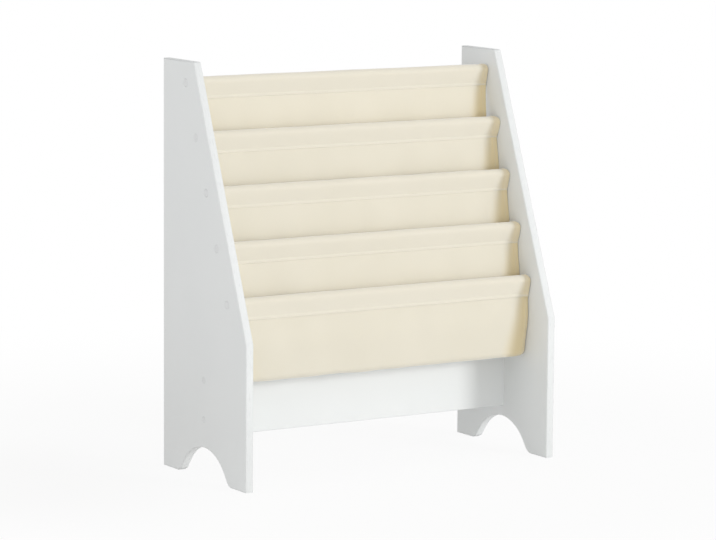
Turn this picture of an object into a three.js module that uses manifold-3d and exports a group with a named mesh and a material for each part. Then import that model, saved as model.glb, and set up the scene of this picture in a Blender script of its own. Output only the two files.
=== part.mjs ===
// Sling bookshelf for a child's room. Millimetres, +Z up, the front faces -Y.
// The origin lies on the floor, under the middle of the width and of the depth.
import * as THREE from 'three';
import { mergeVertices } from 'three/addons/utils/BufferGeometryUtils.js';
import Module from 'manifold-3d';

const { degToRad } = THREE.MathUtils;

// Overall sizes
const width = 620;
const depth = 280;
const height = 700;
const panelThickness = 15;

// Side panel outline: an upright back, a sloping front above a knee, and an arched foot
const topDepth = 103;
const kneeHeight = 247;
const topFrontRadius = 5;
const archWidth = 165.4;
const archFlankAngle = degToRad(53);
const archRadius = 85;
const footInnerRadius = 20;
const panelEdgeRadius = 2;

// Rods in a row along the slope
const rodCount = 5;
const rodInset = 37;
const lowestRodUpSlope = 78;
const highestRodDownSlope = 24.35;
const rodDiameter = 16;
const rodWall = 1.2;

// Threaded plug in each rod end
const plugFlangeThickness = 1.5;
const plugLength = 24;
const plugBore = 6.6;
const plugLeadIn = 1.2;

// Bolt from each panel into a plug
const boltDiameter = 6;
const boltLength = 30;
const boltHeadDiameter = 10;
const boltHeadHeight = 4;
const boltSocketAcross = 5;
const boltSocketDepth = 2.6;
const boltSeatDepth = 6;
const boltPointChamfer = 1;

// Round cover over each bolt
const rodCapDiameter = 13.4;
const rodCapThickness = 1.6;
const rodCapPegAcross = 4.2;
const rodCapPegLength = 2.4;

// Lower cross board
const boardThickness = 15;
const boardHeight = 125;
const boardBottom = 72.5;
const boardEdgeRadius = 1.5;
const boardScrewInset = 29;

// Connecting screw from each panel into the board's end
const screwDiameter = 7;
const screwLength = 46;
const screwHeadDiameter = 10;
const screwHeadHeight = 3;
const screwSocketAcross = 4;
const screwSocketDepth = 2.2;
const screwSeatDepth = 4.6;
const screwPointLength = 5;
const screwPointDiameter = 3;

// Round cover over each connecting screw
const boardCapDiameter = 10;
const boardCapThickness = 1.2;
const boardCapPegAcross = 3.2;
const boardCapPegLength = 2;

// Canvas sling: a sleeve over each rod, sewn shut below it, and a pocket between each two rods
const clothEndGap = 2;
const clothThickness = 1.2;
const sleeveDrop = 36;
const sleeveLean = 2.3;
const seamHeight = 4;
const seamThickness = 2.8;
const seamLayerGap = 0.2;

// The pockets' hang, from each front rod: a belly in the front wall, a round fold, a shoulder behind the rod
const pocketDrop = 135.5;
const foldRadius = 10.5;
const foldSetback = 13;
const bellyLead = 5;
const bellyDrop = 70;
const shoulderSetback = 21.5;
const shoulderRise = 5;
const wallBendRadius = 120;
const pocketSwing = 4;

// Clearances
const slipFit = 0.3;
const sleeveFit = 0.4;
const cutOverrun = 1;

// Facets
const roundSteps = 16;
const rodSteps = 24;
const hexSides = 6;
const cornerTurn = degToRad(6);
const edgeSteps = 2;
const sleeveTurn = degToRad(20);
const foldTurn = degToRad(18);
const clothSpans = 4;

// Materials
const lacquer = { color: 0xf1f1ef, roughness: 0.42, metalness: 0 };
const coverPlastic = { color: 0xe9eaea, roughness: 0.5, metalness: 0 };
const coatedSteel = { color: 0xe4e4e2, roughness: 0.45, metalness: 0 };
const zincSteel = { color: 0xb9bcc0, roughness: 0.35, metalness: 1 };
const canvas = { color: 0xece2c8, roughness: 0.95, metalness: 0 };

// Places that follow from the sizes, drawn in the plane of depth and height
const innerHalf = width / 2 - panelThickness;
const clothWidth = 2 * (innerHalf - clothEndGap);
const front = -depth / 2;
const back = depth / 2;
const knee = new THREE.Vector2(front, kneeHeight);
const slopeTop = new THREE.Vector2(back - topDepth, height);
const upSlope = slopeTop.clone().sub(knee).normalize();
const intoPanel = new THREE.Vector2(upSlope.y, -upSlope.x);
const rodSpread = knee.distanceTo(slopeTop) - lowestRodUpSlope - highestRodDownSlope;
const rodPitch = rodSpread / (rodCount - 1);
const rodPlaces = Array.from({ length: rodCount }, (_, i) => knee.clone()
  .addScaledVector(upSlope, lowestRodUpSlope + (rodCount - 1 - i) * rodPitch)
  .addScaledVector(intoPanel, rodInset));
const boardTop = boardBottom + boardHeight;
const screwPlaces = {
  upper: new THREE.Vector2(0, boardTop - boardScrewInset),
  lower: new THREE.Vector2(0, boardBottom + boardScrewInset),
};
const sides = { left: -1, right: 1 };

// Joining and cutting
const wasm = await Module();
wasm.setup();

function solidOf(geometry) {
  const bare = geometry.clone();
  bare.deleteAttribute('normal');
  bare.deleteAttribute('uv');
  const merged = mergeVertices(bare);
  return new wasm.Manifold(new wasm.Mesh({
    numProp: 3,
    vertProperties: new Float32Array(merged.attributes.position.array),
    triVerts: new Uint32Array(merged.index.array),
  }));
}

function geometryOf(solid) {
  const { vertProperties, triVerts } = solid.getMesh();
  const geometry = new THREE.BufferGeometry();
  geometry.setAttribute('position', new THREE.BufferAttribute(vertProperties, 3));
  geometry.setIndex(new THREE.BufferAttribute(triVerts, 1));
  geometry.computeVertexNormals();
  return geometry;
}

function cut(blank, cutters) {
  return geometryOf(cutters.map(solidOf).reduce((rest, cutter) => rest.subtract(cutter), solidOf(blank)));
}

function join(pieces) {
  return geometryOf(pieces.map(solidOf).reduce((all, piece) => all.add(piece)));
}

// Shapes
// Turns a drawing of depth and height so that its extrusion runs along the width
const acrossWidth = new THREE.Matrix4().makeBasis(
  new THREE.Vector3(0, 1, 0),
  new THREE.Vector3(0, 0, 1),
  new THREE.Vector3(1, 0, 0),
);

function arcPoints(start, centre, turn, largestStep) {
  const steps = Math.ceil(Math.abs(turn) / largestStep);
  return Array.from({ length: steps + 1 }, (_, step) => start.clone()
    .rotateAround(centre, turn * step / steps));
}

// The arc that rounds the corner at one point of a line, given the points before and after it
function roundCorner(before, at, after, radius) {
  const arriving = at.clone().sub(before).normalize();
  const leaving = after.clone().sub(at).normalize();
  const turn = Math.atan2(arriving.cross(leaving), arriving.dot(leaving));
  const start = at.clone().addScaledVector(arriving, -radius * Math.tan(Math.abs(turn) / 2));
  const toCentre = new THREE.Vector2(-arriving.y, arriving.x).multiplyScalar(Math.sign(turn) * radius);
  return arcPoints(start, start.clone().add(toCentre), turn, cornerTurn);
}

// The points of a closed outline whose corners { at, radius } are rounded with arcs
function roundedOutline(corners) {
  return corners.flatMap(({ at, radius }, i) => (radius === 0 ? [at] : roundCorner(
    corners.at(i - 1).at, at, corners[(i + 1) % corners.length].at, radius)));
}

// The angle at which a line from a point outside a circle touches it, on the side given by 1 or -1
function tangentAngle(centre, radius, point, side) {
  const arm = point.clone().sub(centre);
  return arm.angle() + side * Math.acos(radius / arm.length());
}

// A turned piece with its axis along the width, from a profile of [radius, along] pairs
function turned(profile, steps = roundSteps) {
  const points = profile.map(([radius, along]) => new THREE.Vector2(radius, along));
  return new THREE.LatheGeometry(points, steps).rotateZ(-Math.PI / 2);
}

function cylinder(diameter, from, to, steps = roundSteps) {
  const low = Math.min(from, to);
  const high = Math.max(from, to);
  return turned([[0, low], [diameter / 2, low], [diameter / 2, high], [0, high]], steps);
}

// A six-sided socket or peg, measured across its flats
function hexagon(across, from, to) {
  return cylinder(across / Math.cos(Math.PI / hexSides), from, to, hexSides);
}

function atPlace(geometry, place) {
  return geometry.translate(0, place.x, place.y);
}

// Side panel
function panelOutline() {
  const archHalf = archWidth / 2;
  const archApex = archHalf * Math.tan(archFlankAngle);
  const corner = (y, z, radius = 0) => ({ at: new THREE.Vector2(y, z), radius });
  return new THREE.Shape(roundedOutline([
    corner(back, 0),
    corner(back, height),
    corner(slopeTop.x, slopeTop.y, topFrontRadius),
    corner(knee.x, knee.y),
    corner(front, 0),
    corner(-archHalf, 0, footInnerRadius),
    corner(0, archApex, archRadius),
    corner(archHalf, 0, footInnerRadius),
  ]));
}

// A bore right through the panel, and a wider seat sunk into its outer face
function steppedBore(place, boreDiameter, seatDiameter, seatDepth, outward) {
  const outside = panelThickness + cutOverrun;
  return [
    atPlace(cylinder(boreDiameter, -outward * cutOverrun, outward * outside), place),
    atPlace(cylinder(seatDiameter, outward * (panelThickness - seatDepth), outward * outside), place),
  ];
}

function sidePanel(outward) {
  const blank = new THREE.ExtrudeGeometry(panelOutline(), {
    depth: panelThickness - 2 * panelEdgeRadius,
    bevelThickness: panelEdgeRadius,
    bevelSize: panelEdgeRadius,
    bevelOffset: -panelEdgeRadius,
    bevelSegments: edgeSteps,
  });
  blank.translate(0, 0, panelEdgeRadius - (outward < 0 ? panelThickness : 0));
  blank.applyMatrix4(acrossWidth);
  const boltSeat = rodCapDiameter + 2 * slipFit;
  const screwSeat = boardCapDiameter + 2 * slipFit;
  return cut(blank, [
    ...rodPlaces.flatMap((place) => steppedBore(
      place, boltDiameter + 2 * slipFit, boltSeat, boltSeatDepth, outward)),
    ...Object.values(screwPlaces).flatMap((place) => steppedBore(
      place, screwDiameter + 2 * slipFit, screwSeat, screwSeatDepth, outward)),
  ]);
}

// Lower cross board, butted between the panels
function lowerBoard() {
  const half = boardThickness / 2;
  const corner = (y, z) => ({ at: new THREE.Vector2(y, z), radius: boardEdgeRadius });
  const outline = new THREE.Shape(roundedOutline([
    corner(half, boardBottom),
    corner(half, boardTop),
    corner(-half, boardTop),
    corner(-half, boardBottom),
  ]));
  const blank = new THREE.ExtrudeGeometry(outline, { depth: 2 * innerHalf, bevelEnabled: false });
  blank.translate(0, 0, -innerHalf).applyMatrix4(acrossWidth);
  const screwReach = screwLength - (panelThickness - screwSeatDepth);
  const pilotEnd = innerHalf - screwReach - slipFit;
  return cut(blank, Object.values(sides).flatMap((outward) => Object.values(screwPlaces).map(
    (place) => atPlace(cylinder(
      screwDiameter + 2 * slipFit, outward * pilotEnd, outward * (innerHalf + cutOverrun)), place))));
}

// Rod: a steel tube open at both ends, between the flanges of its plugs
function rodTube() {
  const outer = rodDiameter / 2;
  const inner = outer - rodWall;
  const half = innerHalf - plugFlangeThickness;
  return turned([[inner, -half], [outer, -half], [outer, half], [inner, half], [inner, -half]], rodSteps);
}

// Fasteners lie along the width, with 0 at the panel's inner face and the outer face at its thickness
function rodPlug() {
  const flange = rodDiameter / 2;
  const body = flange - rodWall - slipFit;
  const inside = plugBore / 2;
  return turned([
    [inside, -plugLength],
    [body - plugLeadIn, -plugLength],
    [body, plugLeadIn - plugLength],
    [body, -plugFlangeThickness],
    [flange, -plugFlangeThickness],
    [flange, 0],
    [inside, 0],
    [inside, -plugLength],
  ]);
}

function rodBolt() {
  const seat = panelThickness - boltSeatDepth;
  const top = seat + boltHeadHeight;
  const point = seat - boltLength;
  const shank = boltDiameter / 2;
  const head = boltHeadDiameter / 2;
  const blank = turned([
    [0, point],
    [shank - boltPointChamfer, point],
    [shank, point + boltPointChamfer],
    [shank, seat],
    [head, seat],
    [head, top],
    [0, top],
  ]);
  return cut(blank, [hexagon(boltSocketAcross, top - boltSocketDepth, top + cutOverrun)]);
}

function boardScrew() {
  const seat = panelThickness - screwSeatDepth;
  const top = seat + screwHeadHeight;
  const point = seat - screwLength;
  const shank = screwDiameter / 2;
  const head = screwHeadDiameter / 2;
  const blank = turned([
    [0, point],
    [screwPointDiameter / 2, point],
    [shank, point + screwPointLength],
    [shank, seat],
    [head, seat],
    [head, top],
    [0, top],
  ]);
  return cut(blank, [hexagon(screwSocketAcross, top - screwSocketDepth, top + cutOverrun)]);
}

// A round cover, flush with the panel, whose peg pushes into the socket of the head behind it
function cap(diameter, thickness, pegAcross, pegLength) {
  const underside = panelThickness - thickness;
  return join([
    cylinder(diameter, underside, panelThickness),
    hexagon(pegAcross, underside - pegLength, underside + thickness / 2),
  ]);
}

// Sling
const sleeveInside = rodDiameter / 2 + sleeveFit;
const sleeveOutside = sleeveInside + clothThickness;

// The middle of the stitched band that closes a rod's sleeve
function seamPlace(rod) {
  return new THREE.Vector2(rod.x - sleeveLean, rod.y + sleeveOutside - sleeveDrop);
}

// A loop round the rod, drawn straight down to a tip; frontTip and rearTip may be the same point
function teardrop(rod, radius, frontTip, rearTip) {
  const from = tangentAngle(rod, radius, rearTip, 1) - 2 * Math.PI;
  const sweep = tangentAngle(rod, radius, frontTip, -1) - from;
  const start = new THREE.Vector2(rod.x + radius, rod.y).rotateAround(rod, from);
  const arc = arcPoints(start, rod, sweep, sleeveTurn);
  return frontTip === rearTip ? [frontTip, ...arc] : [rearTip, ...arc, frontTip];
}

function sleeve(rod) {
  const seam = seamPlace(rod);
  const tip = (across, up) => seam.clone().add(new THREE.Vector2(across, up));
  const bottom = -seamHeight / 2;
  const outline = new THREE.Shape(teardrop(
    rod, sleeveOutside, tip(-seamThickness / 2, bottom), tip(seamThickness / 2, bottom)));
  const innerTip = tip(0, -bottom);
  outline.holes.push(new THREE.Path(teardrop(rod, sleeveInside, innerTip, innerTip)));
  const geometry = new THREE.ExtrudeGeometry(outline, { depth: clothWidth, bevelEnabled: false });
  return geometry.translate(0, 0, -clothWidth / 2).applyMatrix4(acrossWidth);
}

// The middle line of one pocket's cloth, from the seam of its front rod down, round and up to the next seam
function pocketLine(frontRod, rearRod) {
  const layer = (clothThickness + seamLayerGap) / 2;
  const frontSeam = seamPlace(frontRod).add(new THREE.Vector2(layer, 0));
  const rearSeam = seamPlace(rearRod).add(new THREE.Vector2(-layer, 0));
  const belly = frontRod.clone().add(new THREE.Vector2(-bellyLead, -bellyDrop));
  const shoulder = frontRod.clone().add(new THREE.Vector2(shoulderSetback, shoulderRise));
  const fold = frontRod.clone().add(
    new THREE.Vector2(foldSetback, clothThickness / 2 + foldRadius - pocketDrop));
  const from = tangentAngle(fold, foldRadius, belly, 1);
  const to = tangentAngle(fold, foldRadius, shoulder, -1) + 2 * Math.PI;
  const foldStart = new THREE.Vector2(fold.x + foldRadius, fold.y).rotateAround(fold, from);
  const foldPoints = arcPoints(foldStart, fold, to - from, foldTurn);
  return [
    frontSeam,
    ...roundCorner(frontSeam, belly, foldStart, wallBendRadius),
    ...foldPoints,
    ...roundCorner(foldPoints.at(-1), shoulder, rearSeam, wallBendRadius),
    rearSeam,
  ];
}

// One ring round the pocket's cloth, which swings forward towards the middle of the width
function pocketRing(line, x) {
  const slack = 1 - (2 * x / clothWidth) ** 2;
  const reach = line.map((point, i) => (i === 0 ? 0 : point.distanceTo(line[i - 1])));
  const length = reach.reduce((sum, part) => sum + part);
  let travelled = 0;
  const outer = [];
  const inner = [];
  line.forEach((point, i) => {
    travelled += reach[i];
    const swing = pocketSwing * slack * Math.sin(Math.PI * travelled / length);
    const along = line[Math.min(i + 1, line.length - 1)].clone().sub(line[Math.max(i - 1, 0)]);
    const toLeft = new THREE.Vector2(-along.y, along.x).setLength(clothThickness / 2);
    outer.push(new THREE.Vector3(x, point.x - toLeft.x - swing, point.y - toLeft.y));
    inner.unshift(new THREE.Vector3(x, point.x + toLeft.x - swing, point.y + toLeft.y));
  });
  return [...outer, ...inner];
}

// A closed solid through rings of equally many points, from the lowest x to the highest
function loft(rings) {
  const count = rings[0].length;
  const indices = [];
  for (let ring = 0; ring < rings.length - 1; ring += 1) {
    for (let i = 0; i < count; i += 1) {
      const here = ring * count + i;
      const beside = ring * count + (i + 1) % count;
      indices.push(here, beside, here + count, beside, beside + count, here + count);
    }
  }
  const capFaces = (ring) => THREE.ShapeUtils.triangulateShape(
    rings[ring].map(({ y, z }) => new THREE.Vector2(y, z)), []);
  capFaces(0).forEach(([a, b, c]) => indices.push(a, c, b));
  const last = (rings.length - 1) * count;
  capFaces(rings.length - 1).forEach(([a, b, c]) => indices.push(last + a, last + b, last + c));
  const geometry = new THREE.BufferGeometry().setFromPoints(rings.flat());
  geometry.setIndex(indices);
  return geometry;
}

function pocket(frontRod, rearRod) {
  const line = pocketLine(frontRod, rearRod);
  return loft(Array.from({ length: clothSpans + 1 }, (_, i) => pocketRing(
    line, clothWidth * (i / clothSpans - 1 / 2))));
}

function slingCloth() {
  const pockets = rodPlaces.slice(1).map((frontRod, i) => pocket(frontRod, rodPlaces[i]));
  return join([...rodPlaces.map(sleeve), ...pockets]);
}

// Assembly
const bookshelf = new THREE.Group();

function addPiece(name, geometry, finish, parent = bookshelf) {
  const mesh = new THREE.Mesh(geometry, new THREE.MeshStandardMaterial(finish));
  mesh.name = name;
  parent.add(mesh);
  return mesh;
}

addPiece('lower_board', lowerBoard(), lacquer);
addPiece('sling', slingCloth(), canvas);
rodPlaces.forEach((place, i) => {
  addPiece(`rod_${i + 1}`, rodTube(), coatedSteel).position.set(0, place.x, place.y);
});

Object.entries(sides).forEach(([side, outward]) => {
  const panelGroup = new THREE.Group();
  panelGroup.position.x = outward * innerHalf;
  bookshelf.add(panelGroup);
  addPiece(`side_panel_${side}`, sidePanel(outward), lacquer, panelGroup);

  const addFastener = (name, geometry, finish, place) => {
    const mesh = addPiece(name, geometry, finish, panelGroup);
    mesh.position.set(0, place.x, place.y);
    mesh.rotation.z = outward > 0 ? 0 : Math.PI;
  };
  rodPlaces.forEach((place, i) => {
    const number = i + 1;
    addFastener(`rod_plug_${side}_${number}`, rodPlug(), zincSteel, place);
    addFastener(`rod_bolt_${side}_${number}`, rodBolt(), zincSteel, place);
    addFastener(`rod_cap_${side}_${number}`, cap(
      rodCapDiameter, rodCapThickness, rodCapPegAcross, rodCapPegLength), coverPlastic, place);
  });
  Object.entries(screwPlaces).forEach(([level, place]) => {
    addFastener(`board_screw_${side}_${level}`, boardScrew(), zincSteel, place);
    addFastener(`board_cap_${side}_${level}`, cap(
      boardCapDiameter, boardCapThickness, boardCapPegAcross, boardCapPegLength), coverPlastic, place);
  });
});

export default bookshelf;
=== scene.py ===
import cmath
import math

import bpy
import numpy as np
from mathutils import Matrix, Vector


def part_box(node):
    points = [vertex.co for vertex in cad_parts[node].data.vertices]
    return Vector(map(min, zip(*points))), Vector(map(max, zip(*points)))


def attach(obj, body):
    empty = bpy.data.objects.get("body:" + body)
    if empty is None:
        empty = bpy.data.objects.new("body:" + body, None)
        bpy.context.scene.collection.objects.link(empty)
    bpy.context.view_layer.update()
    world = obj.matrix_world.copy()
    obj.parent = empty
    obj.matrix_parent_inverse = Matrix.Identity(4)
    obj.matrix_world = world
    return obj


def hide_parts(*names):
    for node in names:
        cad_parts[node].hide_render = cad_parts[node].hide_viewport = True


# A sling bookshelf for a child's room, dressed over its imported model.
# Metres, +Z up, the front faces -Y, and the origin is on the floor under the middle of the shelf.
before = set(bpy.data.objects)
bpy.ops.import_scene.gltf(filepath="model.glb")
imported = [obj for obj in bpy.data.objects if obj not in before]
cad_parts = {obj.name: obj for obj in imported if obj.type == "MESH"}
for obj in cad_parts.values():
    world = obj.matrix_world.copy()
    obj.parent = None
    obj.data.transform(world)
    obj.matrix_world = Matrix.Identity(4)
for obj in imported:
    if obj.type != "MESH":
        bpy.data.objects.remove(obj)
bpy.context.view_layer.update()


# Side panels
# Each is one sheet of 15 mm MDF, cut to its outline with an arched foot, rounded over at the edges, primed
# and sprayed white. The spray dries to a faint orange peel. The cut edges soak it up and stay duller and
# rougher, but inside the arch they are painted full white, a painted light that lifts the arch's shade.

class Socket:
    """One output of a node. Arithmetic on it adds Math nodes, and node() adds any other node."""

    def __init__(self, tree, output=None):
        self.tree = tree
        self.output = output

    def node(self, kind, settings=None, sockets=None, output=0):
        made = self.tree.nodes.new(kind)
        for name, value in (settings or {}).items():
            setattr(made, name, value)
        for name, value in (sockets or {}).items():
            if isinstance(value, Socket):
                self.tree.links.new(value.output, made.inputs[name])
            else:
                made.inputs[name].default_value = value
        return Socket(self.tree, made.outputs[output] if made.outputs else None)

    def maths(self, operation, *values):
        return self.node("ShaderNodeMath", {"operation": operation}, dict(enumerate(values)))

    def __add__(self, other):
        return self.maths("ADD", self, other)

    def __rsub__(self, other):
        return self.maths("SUBTRACT", other, self)

    def __mul__(self, other):
        return self.maths("MULTIPLY", self, other)

    __radd__ = __add__
    __rmul__ = __mul__

    def sine(self):
        return self.maths("SINE", self)

    def size(self):
        return self.maths("ABSOLUTE", self)

    def above(self, limit):
        return self.maths("GREATER_THAN", self, limit)

    def step(self, low, high):
        """0 below low and 1 above high, with a soft step between them."""
        return self.node("ShaderNodeMapRange", {"interpolation_type": "SMOOTHSTEP"}, {
            "Value": self, "From Min": low, "From Max": high})

    def between(self, colour_at_0, colour_at_1):
        """The colour that lies this share of the way from one colour to another."""
        factor, colour_a, colour_b, mixed = 0, 6, 7, 2
        return self.node("ShaderNodeMix", {"data_type": "RGBA"}, {
            factor: self, colour_a: colour_at_0, colour_b: colour_at_1}, mixed)

    def parts(self):
        """The three numbers of a vector."""
        apart = self.node("ShaderNodeSeparateXYZ", {}, {"Vector": self}).output.node
        return [Socket(self.tree, output) for output in apart.outputs]

    def stretched(self, by):
        """A vector with each of its numbers multiplied."""
        return self.node("ShaderNodeVectorMath", {"operation": "MULTIPLY"}, {0: self, 1: by})

    def far_from(self, point):
        return self.node("ShaderNodeVectorMath", {"operation": "DISTANCE"}, {0: self, 1: point}, "Value")

    def noise(self, scale, detail=2):
        return self.node("ShaderNodeTexNoise", {}, {"Vector": self, "Scale": scale, "Detail": detail})

    def bump(self, strength, depth, over=None):
        """A relief of this strength and this many metres, laid over another relief."""
        sockets = {"Strength": strength, "Distance": depth, "Height": self}
        if over:
            sockets["Normal"] = over
        return self.node("ShaderNodeBump", {}, sockets)


def finish_of(name, dress):
    """A material whose surface is what dress() returns."""
    finish = bpy.data.materials.new(name)
    finish.use_nodes = True
    finish.node_tree.nodes.clear()
    start = Socket(finish.node_tree)
    start.node("ShaderNodeOutputMaterial", {}, {"Surface": dress(start)})
    return finish


lacquer_white = (0.818, 0.834, 0.830, 1)
lacquer_shade = (0.805, 0.822, 0.819, 1)
lacquer_thin = (0.64, 0.655, 0.65, 1)
lacquer_roughness = 0.36
lacquer_clouding = 0.08
lacquer_clouds = 38
lacquer_flow = 7
flow_step = (0.3, 0.7)
peel_grain = 620
peel_relief = (0.1, 0.0002)
fibre_grain = 110
layer_grain = 900
fibre_step = (0.5, 0.8)
fibre_relief = (0.22, 0.0003)
edge_roughness = 0.12
edge_turn = (0.55, 0.95)
least_soaked = 0.55
arch_behind = (-0.135, -0.130)
arch_below = (0.075, 0.085)


def sprayed_board(across_faces):
    """White lacquer on MDF whose two faces look along the axis with this number."""

    def dress(start):
        place = start.node("ShaderNodeTexCoord", output="Object")
        normal = start.node("ShaderNodeNewGeometry", output="Normal")
        cut_edge = 1 - normal.parts()[across_faces].size().step(*edge_turn)
        grain = [fibre_grain] * 3
        grain[across_faces] = layer_grain
        fibres = place.stretched(grain).noise(1, detail=3)
        shade = place.noise(lacquer_flow).step(*flow_step).between(lacquer_shade, lacquer_white)
        _, back, up = place.parts()
        # Inside the arched foot the cut edges keep the full white, as painted light against the arch's shade
        arch_painted_light = back.step(*arch_behind) * (1 - up.step(*arch_below))
        soaked = least_soaked + (1 - least_soaked) * fibres.step(*fibre_step)
        thin_coat = cut_edge * (1 - arch_painted_light) * soaked
        peel = place.noise(peel_grain, detail=1).bump(*peel_relief)
        clouding = lacquer_clouding * place.noise(lacquer_clouds)
        return start.node("ShaderNodeBsdfPrincipled", {}, {
            "Base Color": thin_coat.between(shade, lacquer_thin),
            "Roughness": lacquer_roughness + clouding + edge_roughness * cut_edge,
            "Normal": (cut_edge * fibres).bump(*fibre_relief, over=peel),
        })

    return dress


# The model's rounds come as flat facets, so its pieces are welded and shaded smooth up to this turn
sharp_from = math.radians(50)
weld_within = 0.00001
rounds = bpy.data.node_groups.new("rounds", "GeometryNodeTree")
rounds.interface.new_socket("Geometry", in_out="INPUT", socket_type="NodeSocketGeometry")
rounds.interface.new_socket("Geometry", in_out="OUTPUT", socket_type="NodeSocketGeometry")
facets = Socket(rounds).node("NodeGroupInput")
welded = facets.node("GeometryNodeMergeByDistance", {}, {"Geometry": facets, "Distance": weld_within})
sharp = facets.node("GeometryNodeInputMeshEdgeAngle").above(sharp_from)
eased = welded.node("GeometryNodeSetMeshNormal", {"mode": "SHARPNESS"}, {
    "Mesh": welded, "Remove Custom": True, "Edge Sharpness": sharp})
eased.node("NodeGroupOutput", {}, {"Geometry": eased})


def coat(name, finish):
    """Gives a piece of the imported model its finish, and shades its rounds as rounds."""
    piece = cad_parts[name]
    piece.material_slots[0].material = finish
    piece.modifiers.new("rounds", "NODES").node_group = rounds
    piece.modifiers.new("flats", "WEIGHTED_NORMAL").keep_sharp = True


panel_lacquer = finish_of("panel_lacquer", sprayed_board(across_faces=0))
for side in ("left", "right"):
    coat(f"side_panel_{side}", panel_lacquer)


# Lower board
# A plain 15 mm MDF board, butted between the panels and held by two connecting screws at each end. It keeps
# the frame square, and wears the same white lacquer.

coat("lower_board", finish_of("board_lacquer", sprayed_board(across_faces=1)))


# Rods
# Five thin steel tubes under a white powder coat, which dries to a fine pebbled skin. They carry the sling
# and are hidden in its sleeves, but for the slits at the cloth's ends.

powder_shade = (0.70, 0.71, 0.70, 1)
powder_white = (0.80, 0.81, 0.80, 1)
powder_roughness = 0.42
powder_clouding = 0.1
powder_clouds = 60
pebble_grain = 1400
pebble_step = (0.2, 0.8)
pebble_relief = (0.3, 0.0002)


def powder_coat(start):
    place = start.node("ShaderNodeTexCoord", output="Object")
    pebbles = place.noise(pebble_grain)
    return start.node("ShaderNodeBsdfPrincipled", {}, {
        "Base Color": pebbles.step(*pebble_step).between(powder_shade, powder_white),
        "Roughness": powder_roughness + powder_clouding * place.noise(powder_clouds),
        "Normal": pebbles.bump(*pebble_relief),
    })


rod_count = 5
rod_coat = finish_of("rod_coat", powder_coat)
for number in range(1, rod_count + 1):
    coat(f"rod_{number}", rod_coat)


# Plugs, bolts and screws
# Turned steel with a bright zinc plating that clouds in patches. A threaded plug sits in each rod end and
# takes the bolt that comes through the panel. Longer screws go into the ends of the lower board.

zinc_dull = (0.58, 0.60, 0.63, 1)
zinc_bright = (0.72, 0.73, 0.74, 1)
zinc_roughness = 0.24
zinc_clouding = 0.22
zinc_clouds = 240
zinc_step = (0.35, 0.7)
turning_grain = 2600
turning_relief = (0.12, 0.0001)


def zinc_plate(start):
    place = start.node("ShaderNodeTexCoord", output="Object")
    clouds = place.noise(zinc_clouds, detail=3)
    return start.node("ShaderNodeBsdfPrincipled", {}, {
        "Base Color": clouds.step(*zinc_step).between(zinc_dull, zinc_bright),
        "Metallic": 1.0,
        "Roughness": zinc_roughness + zinc_clouding * clouds,
        "Normal": place.noise(turning_grain, detail=1).bump(*turning_relief),
    })


zinc = finish_of("zinc_plate", zinc_plate)
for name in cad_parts:
    if name.startswith(("rod_plug_", "rod_bolt_", "board_screw_")):
        coat(name, zinc)


# Covers
# Round moulded covers pressed over the bolt and screw heads, flush with the panel. The mould leaves a fine
# matt grain, and the thin ring of shadow round each is its fit in the panel.

cover_shade = (0.77, 0.78, 0.78, 1)
cover_white = (0.805, 0.815, 0.815, 1)
cover_roughness = 0.5
cover_clouding = 0.12
cover_clouds = 90
cover_step = (0.3, 0.7)
mould_grain = 3200
mould_relief = (0.25, 0.0001)


def moulded_cover(start):
    place = start.node("ShaderNodeTexCoord", output="Object")
    grain = place.noise(mould_grain, detail=1)
    return start.node("ShaderNodeBsdfPrincipled", {}, {
        "Base Color": place.noise(cover_clouds).step(*cover_step).between(cover_shade, cover_white),
        "Roughness": cover_roughness + cover_clouding * grain,
        "Normal": grain.bump(*mould_relief),
    })


cover_plastic = finish_of("cover_plastic", moulded_cover)
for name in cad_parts:
    if name.startswith(("rod_cap_", "board_cap_")):
        coat(name, cover_plastic)


# Sling
# One length of cream cotton canvas, hemmed down both sides. It goes up behind each rod, over it and down in
# front, and is sewn to itself below, so that it makes a sleeve on every rod and hangs in a deep pocket
# between each two.

# Its run seen from the side. Points are complex numbers, depth + height * 1j, so that a turn is a product.
cloth_half = 0.00045
sleeve_radius = 0.009
seam_lean = 0.0023
seam_drop = 0.0264
layer_offset = 0.0005
fold_radius = 0.0105
fold_setback = 0.013
pocket_drop = 0.1355
belly = complex(-0.005, -0.070)
shoulder = complex(0.0215, 0.005)
wall_bend = 0.120
hem_tail = 0.0035
arc_steps = 24


def arc(centre, start, turn):
    arm = start - centre
    return [centre + arm * cmath.exp(1j * turn * step / arc_steps) for step in range(arc_steps + 1)]


def bend(before, corner, after, radius):
    """The arc that rounds the corner between two straight runs."""
    arriving = (corner - before) / abs(corner - before)
    leaving = (after - corner) / abs(after - corner)
    turn = cmath.phase(leaving / arriving)
    start = corner - arriving * radius * math.tan(abs(turn) / 2)
    return arc(start + arriving * 1j * math.copysign(radius, turn), start, turn)


def touch(centre, radius, point, side):
    """The angle at which a line from a point touches a circle, on one side of it or the other."""
    arm = point - centre
    return cmath.phase(arm) + side * math.acos(radius / abs(arm))


def seam_below(rod):
    return rod - seam_lean - 1j * seam_drop


def sleeve_line(rod):
    """Up behind the rod from the seam, over it, and down its front to the seam."""
    rear = seam_below(rod) + layer_offset
    front = seam_below(rod) - layer_offset
    from_angle = touch(rod, sleeve_radius, rear, 1)
    turn = (touch(rod, sleeve_radius, front, -1) - from_angle) % (2 * math.pi)
    return [rear, *arc(rod, rod + cmath.rect(sleeve_radius, from_angle), turn), front]


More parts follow.
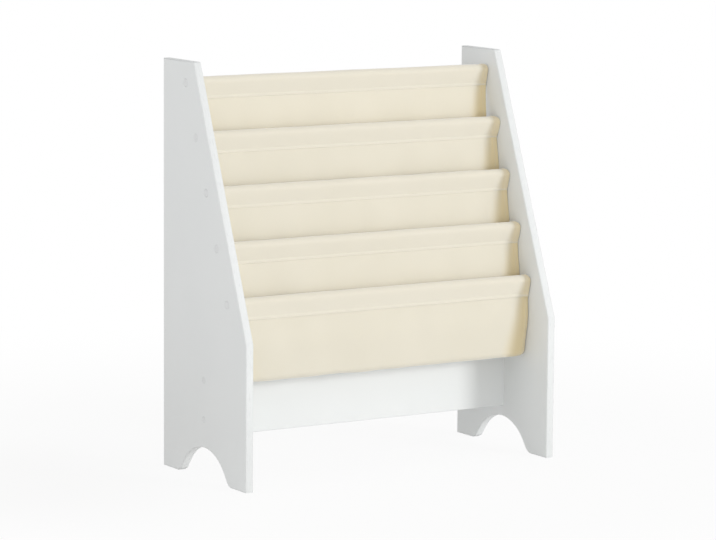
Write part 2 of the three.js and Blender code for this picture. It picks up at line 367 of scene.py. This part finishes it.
def pocket_line(rear_rod, front_rod):
    """Down the back wall from one rod's seam, round the fold, and up the front wall to the next seam."""
    top = seam_below(rear_rod) - layer_offset
    end = seam_below(front_rod) + layer_offset
    fold = front_rod + fold_setback + 1j * (cloth_half + fold_radius - pocket_drop)
    from_angle = touch(fold, fold_radius, front_rod + shoulder, -1)
    turn = (touch(fold, fold_radius, front_rod + belly, 1) - from_angle) % (2 * math.pi) - 2 * math.pi
    round_fold = arc(fold, fold + cmath.rect(fold_radius, from_angle), turn)
    return [
        top,
        *bend(top, front_rod + shoulder, round_fold[0], wall_bend),
        *round_fold,
        *bend(round_fold[-1], front_rod + belly, end, wall_bend),
        end,
    ]


def lengths(points):
    """How far each point is from the first, along the run."""
    return np.concatenate([[0], np.cumsum(np.abs(np.diff(points)))])


def rod_centre(number):
    low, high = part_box(f"rod_{number}")
    return complex(low.y + high.y, low.z + high.z) / 2


rods = [rod_centre(number) for number in range(1, rod_count + 1)]
runs = [sleeve_line(rods[0])]
for rear_rod, front_rod in zip(rods, rods[1:]):
    runs += [pocket_line(rear_rod, front_rod), sleeve_line(front_rod)]
runs[0].insert(0, runs[0][0] - 1j * hem_tail)
runs[-1].append(runs[-1][-1] - 1j * hem_tail)

# The whole run, how far down a pocket each point of it is, and where the seams, rods and pocket walls are
line = [runs[0][0]]
phase = [0.0]
seam_marks = []
rod_marks = []
wall_marks = []
for number, run in enumerate(runs):
    reach = lengths(run)
    begun = lengths(line)[-1]
    in_pocket = number % 2 == 1
    line += run[1:]
    if in_pocket:
        phase += list(reach[1:] / reach[-1])
        wall_marks += [begun + reach[-1] / 4, begun + reach[-1] * 3 / 4]
    else:
        phase += [0.0] * (len(run) - 1)
        first_tail = hem_tail if number == 0 else 0
        last_tail = hem_tail if number == len(runs) - 1 else 0
        seam_marks += [begun + first_tail, begun + reach[-1] - last_tail]
        rod_marks.append(begun + reach[-1] / 2)
line = np.array(line)
run_at = lengths(line)
cloth_length = run_at[-1]


def line_at(along):
    return np.interp(along, run_at, line.real) + 1j * np.interp(along, run_at, line.imag)


def away_from(marks, along):
    """How far along the cloth each point is from the nearest of these marks."""
    return np.min(np.abs(np.asarray(along)[..., None] - np.array(marks)), axis=-1)


# Rows lie close together at the seams, folds and rods, and further apart down the walls
probe_step = 0.0002
seam_spacing = 0.0007
bend_spacing = 0.0012
wall_spacing = 0.0062
turn_per_row = 0.12
seam_zone = 0.004
spacing_growth = 0.35
probe = np.arange(0, cloth_length, probe_step)
heading = np.unwrap(np.angle(np.gradient(line_at(probe))))
curve = np.abs(np.gradient(heading, probe))
spacing = np.clip(turn_per_row / np.maximum(curve, 1), bend_spacing, wall_spacing)
past_zone = np.maximum(away_from(seam_marks, probe) - seam_zone, 0)
spacing = np.minimum(spacing, seam_spacing + past_zone * spacing_growth)
counted = np.concatenate([[0], np.cumsum(probe_step / spacing[1:])])
row_count = int(counted[-1]) + 1
rows = np.interp(np.linspace(0, counted[-1], row_count), counted, probe)
rows[-1] = cloth_length

# Columns lie close together over the turned hems down both sides
half_width = 0.293
middle_columns = 60
edge_columns = np.array([0, 0.35, 1.1, 2.6, 4.6, 6.5, 7.0, 7.5, 8.7, 9.7, 11, 13.5, 17.5, 23]) / 1000
near_edge = half_width - edge_columns
between_edges = np.linspace(-near_edge[-1], near_edge[-1], middle_columns)[1:-1]
columns = np.concatenate([-near_edge, between_edges, near_edge[::-1]]) / half_width

# How the hung cloth gives. It swings forward in the middle of a pocket and lifts at the ends of the fold. At
# each rod, from the top one down, the sleeve's ends reach out a little to the panels and stand open in front,
# but the hems are pulled in over the rod itself. Down the walls, back and front of each pocket in turn, the
# hems draw in or curl back. The higher its power, the nearer to the cloth's ends such a pull is felt.
pocket_swing = 0.004
end_zone = 0.016
fold_lift = 0.0035
end_reach = {
    "left": [0.0010, 0.0004, 0.0012, 0.0008, 0.0007],
    "right": [0.0012, 0.0016, 0.0014, 0.0014, 0.0011],
}
end_reach_power = 4
mouth = {
    "left": [0.0005, 0.0020, 0.0015, 0.0020, 0.0010],
    "right": [0.0003, 0.0050, 0.0020, 0.0025, 0.0006],
}
mouth_reach = 0.0415
mouth_power = 6
hem_pull = 0.0045
hem_pull_reach = 0.0065
hem_pull_power = 16
hem_draw = [0.0085, 0, 0, 0, 0, 0, 0, 0.0006]
hem_draw_power = 8
hem_curl = [0, 0, 0, 0, 0, 0, 0, 0.0052]

# Slow waves that the canvas keeps from hanging loaded: long down the walls, short across them. Their ranges
# are in radians a metre. The widest stand highest, and the size given is that of one of 35 a metre across.
waves = np.random.default_rng(11)
wave_count = 16
across_range = (25, 105)
along_range = (-26, 26)
wave_size = 0.00042
sized_at = 35
height_fade = 20
wave_on_sleeve = 0.12
wave_on_wall = 3.2
wave_across = waves.uniform(*across_range, wave_count)
wave_along = waves.uniform(*along_range, wave_count)
wave_turn = waves.uniform(0, 2 * math.pi, wave_count)
wave_height = wave_size * ((sized_at + height_fade) / (wave_across + height_fade))


def hang_at(along):
    """How far down a pocket a point hangs, from 0 on a sleeve to 1 at the fold."""
    return np.sin(math.pi * np.interp(along, run_at, phase))


def at_ends(by_rod, across, along):
    """A size given for the left and right end of each sleeve, spread along the cloth."""
    left = np.interp(along, rod_marks, by_rod["left"])
    right = np.interp(along, rod_marks, by_rod["right"])
    return np.where(across < 0, left, right)


def from_side(across):
    return (1 - np.abs(across)) * half_width


def cloth_at(across, along):
    """A point in the middle of the hung cloth, across from -1 to 1 and along in metres."""
    place = line_at(along)
    out = -1j * np.exp(1j * np.interp(along, probe, heading))
    hang = hang_at(along)
    from_rod = away_from(rod_marks, along)
    near_end = np.clip(1 - from_side(across) / end_zone, 0, 1) ** 2
    drawn = np.interp(along, wall_marks, hem_draw) * hang
    pulled = hem_pull * np.exp(-(from_rod / hem_pull_reach) ** 2)
    x = across * (half_width
                  + at_ends(end_reach, across, along) * across ** end_reach_power
                  - pulled * across ** hem_pull_power
                  - drawn * across ** hem_draw_power)
    on_sleeve = np.clip(1 - (from_rod / mouth_reach) ** mouth_power, 0, 1)
    opened = at_ends(mouth, across, along) * near_end * on_sleeve * np.clip(-out.real, 0, 1)
    swung = pocket_swing * (1 - across ** 2) * hang
    curled = np.interp(along, wall_marks, hem_curl) * hang * near_end
    ripple = sum(height * np.sin(a * x + b * along + turn) for height, a, b, turn in zip(
        wave_height, wave_across, wave_along, wave_turn))
    place = place - opened - swung + curled
    place = place + out * ripple * (wave_on_sleeve + wave_on_wall * hang * (1 - hang))
    place = place + 1j * fold_lift * near_end * hang ** 2
    return np.stack([x, place.real, place.imag], axis=-1)


def cloth_frame(across, along):
    """The point, and the directions over the cloth, down it and out of its face."""
    nudge = 0.0003
    along = np.clip(along, nudge, cloth_length - nudge)
    down = cloth_at(across, along + nudge) - cloth_at(across, along - nudge)
    over = cloth_at(across + nudge, along) - cloth_at(across - nudge, along)
    down = down / np.linalg.norm(down, axis=-1, keepdims=True)
    over = over / np.linalg.norm(over, axis=-1, keepdims=True)
    out = np.cross(down, over)
    return cloth_at(across, along), over, down, out / np.linalg.norm(out, axis=-1, keepdims=True)


# The cloth's thickness: a second layer in the hems, a welt along each seam, a groove under each stitch row
hem_width = 0.0092
hem_step = (hem_width - 0.0008, hem_width + 0.0006)
hem_thickness = 0.0007
hem_stitch = 0.0070
seam_welt = 0.0012
welt_rise = (-0.0042, -0.0012)
welt_fall = (0.0012, 0.0021)
stitch_groove = 0.00015
groove_width = 0.0006
edge_round = 0.0008
edge_left = 0.4
turned_in = (0.05, 0.3)


def past_seam(along):
    """How far past the nearest seam a point is, or before it where negative."""
    away = np.asarray(along)[..., None] - np.array(seam_marks)
    nearest = np.argmin(np.abs(away), axis=-1)[..., None]
    return np.take_along_axis(away, nearest, axis=-1)[..., 0]


def ease_between(value, low, high):
    share = np.clip((value - low) / (high - low), 0, 1)
    return share * share * (3 - 2 * share)


def on_welt(seam):
    return ease_between(seam, *welt_rise) * (1 - ease_between(seam, *welt_fall))


def groove_at(away):
    return stitch_groove * np.exp(-(away / groove_width) ** 2)


def stand_off(across, along):
    """How far the face and the back of the cloth stand from its middle."""
    side = from_side(across)
    seam = past_seam(along)
    hem = hem_thickness * (1 - ease_between(side, *hem_step))
    hem_on_face = 1 - ease_between(hang_at(along), *turned_in)
    hem_groove = groove_at(side - hem_stitch) / 2
    rounded = edge_left + (1 - edge_left) * np.sqrt(np.clip(side / edge_round, 0, 1))
    face = cloth_half + hem * hem_on_face + seam_welt * on_welt(seam) - groove_at(seam) - hem_groove
    back = cloth_half + hem * (1 - hem_on_face) - hem_groove
    return face * rounded, back * rounded


# The canvas: a plain weave with thicker threads here and there, under a cotton fuzz that brightens where it
# turns away. Down its sides a warm straw shade is painted where the panels' shadow falls, most at the right
# end and low in the pockets. The sleeves and welts are paler, partly as two layers are and partly as a
# painted highlight, and some of the light behind the canvas comes through.
thread_pitch = 0.00075
thread_share = 0.6
slub_share = 0.8
slub_grain = 90
thread_grain = 1300
weave_step = (0.35, 1.1)
weave_relief = (0.35, 0.0002)
weave_light = 0.5
tone_grain = 9
tone_step = (0.25, 0.75)
gather_grain = 420
gather_relief = (0.3, 0.0006)
thick_and_lit_share = 0.6
canvas_cream = (0.82, 0.775, 0.645, 1)
canvas_pale = (0.84, 0.795, 0.67, 1)
canvas_light = (0.87, 0.83, 0.72, 1)
# Paler canvas for the sleeves and welts: partly doubled cloth, partly a painted highlight
canvas_thick_and_lit = (0.90, 0.855, 0.75, 1)
# A warm straw colour, painted as shade down the sides where the panels' shadow falls
canvas_painted_shade = (0.90, 0.76, 0.47, 1)
canvas_glow = (0.90, 0.79, 0.50, 1)
canvas_roughness = 0.88
translucence = 0.16


def canvas_weave(start):
    run = start.node("ShaderNodeAttribute", {"attribute_name": "cloth_run"}, output="Vector")
    painted_shade, thick_and_lit, sewn = (
        start.node("ShaderNodeAttribute", {"attribute_name": name}, output="Fac")
        for name in ("painted_shade", "thick_and_lit", "sewn"))
    across, along, _ = run.parts()
    per_metre = math.pi / thread_pitch
    over_under = (across * per_metre).sine() * (along * per_metre).sine()
    weft_slubs = run.stretched((slub_grain, thread_grain, 1)).noise(1)
    warp_slubs = run.stretched((thread_grain, slub_grain, 1)).noise(1)
    weave = (over_under * 0.5 + 0.5) * thread_share + (weft_slubs * 0.5 + warp_slubs * 0.5) * slub_share
    colour = run.noise(tone_grain, detail=3).step(*tone_step).between(canvas_cream, canvas_pale)
    colour = (weave.step(*weave_step) * weave_light).between(colour, canvas_light)
    # The warm shade painted down the sides goes in first, then the paler sleeves and welts
    colour = (thick_and_lit * thick_and_lit_share).between(painted_shade.between(colour, canvas_painted_shade), canvas_thick_and_lit)
    gathers = sewn * run.stretched((gather_grain, gather_grain, 1)).noise(1, detail=1)
    relief = weave.bump(*weave_relief, over=gathers.bump(*gather_relief))
    lit = start.node("ShaderNodeBsdfPrincipled", {}, {
        "Base Color": colour,
        "Roughness": canvas_roughness,
        "Specular IOR Level": 0.25,
        "Sheen Weight": 1.0,
        "Sheen Roughness": 0.5,
        "Normal": relief,
    })
    through = start.node("ShaderNodeBsdfTranslucent", {}, {"Color": canvas_glow, "Normal": relief})
    return start.node("ShaderNodeMixShader", {}, {0: translucence, 1: lit, 2: through})


def into_scene(name, data):
    thing = bpy.data.objects.new(name, data)
    bpy.context.scene.collection.objects.link(thing)
    return thing


def new_piece(name, points, faces, finish):
    mesh = bpy.data.meshes.new(name)
    mesh.from_pydata(points, [], faces)
    mesh.polygons.foreach_set("use_smooth", [True] * len(mesh.polygons))
    mesh.materials.append(finish)
    return into_scene(name, mesh)


def quads(a, b, c, d):
    return np.stack([a.ravel(), b.ravel(), c.ravel(), d.ravel()], axis=1)


over_grid, along_grid = np.meshgrid(columns, rows)
middle, _, _, out = cloth_frame(over_grid, along_grid)
face_off, back_off = stand_off(over_grid, along_grid)
face_points = middle + out * face_off[..., None]
back_points = middle - out * back_off[..., None]
face = np.arange(over_grid.size).reshape(over_grid.shape)
back = face + over_grid.size
sling_faces = np.concatenate([
    quads(face[:-1, :-1], face[1:, :-1], face[1:, 1:], face[:-1, 1:]),
    quads(back[:-1, :-1], back[:-1, 1:], back[1:, 1:], back[1:, :-1]),
    quads(face[:-1, 0], back[:-1, 0], back[1:, 0], face[1:, 0]),
    quads(face[1:, -1], back[1:, -1], back[:-1, -1], face[:-1, -1]),
    quads(face[0, :-1], face[0, 1:], back[0, 1:], back[0, :-1]),
    quads(face[-1, 1:], face[-1, :-1], back[-1, :-1], back[-1, 1:]),
])
sling_points = np.stack([face_points, back_points]).reshape(-1, 3)
sling = new_piece("canvas_sling", sling_points.tolist(), sling_faces.tolist(),
                  finish_of("canvas", canvas_weave))


def keep(name, on_face, on_back):
    """Keeps a number, or a vector, at every point of the sling, for the canvas to use."""
    values = np.stack([on_face, on_back]).astype(np.float32)
    is_vector = values.ndim > over_grid.ndim + 1
    kept = sling.data.attributes.new(name, "FLOAT_VECTOR" if is_vector else "FLOAT", "POINT")
    kept.data.foreach_set("vector" if is_vector else "value", values.ravel())


# How wide and how strong the painted shade down the sides is: less at the left end, and less where the canvas
# faces backwards
shade_width_at_rod = 0.011
shade_width_at_seam = 0.009
shade_width_at_fold = 0.032
seam_distance = 0.030
shade_fade = (0.35, 1.2)
shade_on_left = 0.35
shade_less_behind = 0.7
front_contrast = 2
sleeves_doubled_and_lit = 0.45
sleeve_hang = 0.01
sewn_reach = 0.014
cloth_run = np.stack([over_grid * half_width, along_grid, 0 * along_grid], axis=-1)
keep("cloth_run", cloth_run, cloth_run)
side_grid = from_side(over_grid)
seam_grid = past_seam(along_grid)
hang_grid = hang_at(along_grid)
down_sleeve = np.clip(away_from(rod_marks, along_grid) / seam_distance, 0, 1)
# The painted shade widens down each sleeve and pocket, as the panels' shadow does
shade_width = shade_width_at_rod + shade_width_at_seam * down_sleeve + shade_width_at_fold * hang_grid
painted_shade = 1 - ease_between(side_grid, shade_fade[0] * shade_width, shade_fade[1] * shade_width)
painted_shade = painted_shade * np.where(over_grid < 0, shade_on_left, 1)
facing = np.clip(0.5 - front_contrast * out[..., 1], 0, 1)
keep("painted_shade", painted_shade * (1 - shade_less_behind * (1 - facing)), painted_shade * (1 - shade_less_behind * facing))
# Paler over each welt and sleeve: partly two layers of cloth, partly a painted highlight
thick_and_lit = np.maximum(on_welt(seam_grid), sleeves_doubled_and_lit * (hang_grid < sleeve_hang))
keep("thick_and_lit", thick_and_lit, thick_and_lit)
sewn = np.maximum(1 - np.abs(seam_grid) / sewn_reach, 1 - side_grid / sewn_reach).clip(0, 1)
keep("sewn", sewn, sewn)

# The stitches: a row through each seam, seen from the front, and a row down each hem, seen from both faces
stitch_pitch = 0.0034
stitch_half = 0.0014
seam_ends = 0.001
hem_ends = 0.002
thread_radius = 0.00027
ring_places = np.array([-1.0, -0.55, 0.55, 1.0])
ring_widths = np.array([0.45, 1.0, 1.0, 0.45])
ring_heights = np.array([-0.7, 0.35, 0.35, -0.7])
ring_sides = 5
thread_shade = (0.80, 0.73, 0.58, 1)
thread_light = (0.88, 0.82, 0.69, 1)
thread_roughness = 0.7
twist_grain = 2400
twist_step = (0.3, 0.7)
twist_relief = (0.4, 0.0001)


def sewing_thread(start):
    twist = start.node("ShaderNodeTexCoord", output="Object").noise(twist_grain, detail=1)
    return start.node("ShaderNodeBsdfPrincipled", {}, {
        "Base Color": twist.step(*twist_step).between(thread_shade, thread_light),
        "Roughness": thread_roughness,
        "Normal": twist.bump(*twist_relief),
    })


def places_between(low, high):
    count = int((high - low) / stitch_pitch)
    return low + (np.arange(count) + 0.5) * (high - low) / count


def row_of_stitches(across, along, off, sideways, facing):
    """The points of every stitch of a row, given how far it stands off and which way the row runs."""
    place, over, down, outward = cloth_frame(across, along)
    outward = outward * facing
    run, aside = (over, down) if sideways else (down, over)
    angle = np.arange(ring_sides) * 2 * math.pi / ring_sides
    forth = ring_places[:, None] * stitch_half + 0 * angle
    wide = thread_radius * ring_widths[:, None] * np.cos(angle)
    tall = thread_radius * (ring_heights[:, None] + ring_widths[:, None] * np.sin(angle))
    shape = np.stack([forth, wide, tall], axis=-1).reshape(-1, 3)
    middle = place + outward * off[:, None]
    return middle[:, None, :] + shape @ np.stack([run, aside, outward], axis=1)


stitch_rows = []
for mark in seam_marks:
    across = places_between(-half_width + seam_ends, half_width - seam_ends) / half_width
    along = np.full_like(across, mark)
    stitch_rows.append(row_of_stitches(across, along, stand_off(across, along)[0], True, 1))
for end in (-1, 1):
    along = places_between(hem_ends, cloth_length - hem_ends)
    across = np.full_like(along, end * (1 - hem_stitch / half_width))
    face_off, back_off = stand_off(across, along)
    stitch_rows.append(row_of_stitches(across, along, face_off, False, 1))
    stitch_rows.append(row_of_stitches(across, along, back_off, False, -1))
stitch_points = np.concatenate(stitch_rows)
stitch_count, per_stitch = stitch_points.shape[:2]
one_stitch = []
for ring in range(len(ring_places) - 1):
    for corner in range(ring_sides):
        here = ring * ring_sides
        ahead = here + ring_sides
        beside = (corner + 1) % ring_sides
        one_stitch.append([here + corner, here + beside, ahead + beside, ahead + corner])
one_stitch += [list(range(ring_sides))[::-1], list(range(per_stitch - ring_sides, per_stitch))]
stitch_faces = [[stitch * per_stitch + corner for corner in corners]
                for stitch in range(stitch_count) for corners in one_stitch]
stitches = new_piece("sling_stitches", stitch_points.reshape(-1, 3).tolist(), stitch_faces,
                     finish_of("thread", sewing_thread))

for piece in (sling, stitches):
    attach(piece, "root")
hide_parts("sling")


# Studio
# White paper under plain soft light: a broad lamp in front and to the right, a weak one in front and to the
# left, a small near one at the left side, and an even sky. Just left of the shelf a shade is painted grey on
# the paper, so that less light comes up on that panel. The camera stands to the left, above the shelf, and
# looks a little down.

paper_white = (0.87, 0.87, 0.87, 1)
# A grey painted on the paper left of the shelf, standing in for shade there
floor_painted_shade = (0.52, 0.505, 0.485, 1)
floor_shade_place = (-0.64, 0.13, 0)
floor_shade_reach = (0.08, 0.50)
paper_cloud = 0.1
paper_clouds = 3
shadow_share = 0.1
shadow_reach = (0.5, 1.6)
floor_half = 9.0
sky_strength = 0.71
pure_white = (1, 1, 1, 1)
shelf_middle = 0.35


def seen_directly(start):
    """1 for what the camera sees, straight or in a reflection, and 0 for the light that falls on things."""
    seen = start.node("ShaderNodeLightPath", output="Is Camera Ray")
    for ray in ("Is Glossy Ray", "Is Transmission Ray"):
        seen = seen.maths("MAXIMUM", seen, start.node("ShaderNodeLightPath", output=ray))
    return seen


def white_paper(start):
    place = start.node("ShaderNodeTexCoord", output="Object")
    # Grey painted as shade on the paper near the shelf's left side
    past_floor_shade = place.far_from(floor_shade_place).step(*floor_shade_reach)
    white = past_floor_shade * (1 - paper_cloud) + place.noise(paper_clouds) * paper_cloud
    paper = start.node("ShaderNodeBsdfDiffuse", {}, {"Color": white.between(floor_painted_shade, paper_white)})
    glow = start.node("ShaderNodeEmission", {}, {"Color": pure_white, "Strength": 1.0})
    clear = place.far_from((0, 0, 0)).step(*shadow_reach)
    share = seen_directly(start) * (1 - shadow_share + shadow_share * clear)
    return start.node("ShaderNodeMixShader", {}, {0: share, 1: paper, 2: glow})


floor_corners = [(x * floor_half, y * floor_half, 0) for x, y in ((-1, -1), (1, -1), (1, 1), (-1, 1))]
floor = new_piece("floor", floor_corners, [(0, 1, 2, 3)], finish_of("white_floor", white_paper))

sky = bpy.data.worlds.new("sky")
bpy.context.scene.world = sky
sky.use_nodes = True
sky.node_tree.nodes.clear()
sky_start = Socket(sky.node_tree)
plain_sky, white_sky = (
    sky_start.node("ShaderNodeBackground", {}, {"Color": pure_white, "Strength": strength})
    for strength in (sky_strength, 1.0))
sky_start.node("ShaderNodeOutputWorld", {}, {"Surface": sky_start.node("ShaderNodeMixShader", {}, {
    0: seen_directly(sky_start), 1: plain_sky, 2: white_sky})})


def lamp(name, azimuth, elevation, distance, size, power):
    """A round soft lamp that looks at the middle of the shelf. Azimuth 0 is in front, 90 to the right."""
    light = bpy.data.lights.new(name, "AREA")
    light.shape = "DISK"
    light.size = size
    light.energy = power
    turn = math.radians(azimuth)
    rise = math.radians(elevation)
    level = math.cos(rise) * distance
    height = math.sin(rise) * distance + shelf_middle
    holder = into_scene(name, light)
    holder.location = (math.sin(turn) * level, -math.cos(turn) * level, height)
    holder.rotation_euler = (math.pi / 2 - rise, 0, turn)


lamp("key_lamp", azimuth=31, elevation=11, distance=7.0, size=2.0, power=190)
lamp("fill_lamp", azimuth=-28, elevation=5, distance=3.5, size=1.2, power=11.2)
lamp("side_lamp", azimuth=-88, elevation=15, distance=1.6, size=0.7, power=1.4)

camera = into_scene("camera", bpy.data.cameras.new("camera"))
camera.data.sensor_width = 36
camera.data.lens = 173.9
camera.data.clip_end = 60
camera.location = (-3.128373, -4.978474, 1.167095)
camera.rotation_euler = [math.radians(angle) for angle in (81.934205, -0.433425, -32.029917)]
bpy.context.scene.camera = camera
bpy.context.scene.view_settings.view_transform = "Standard"
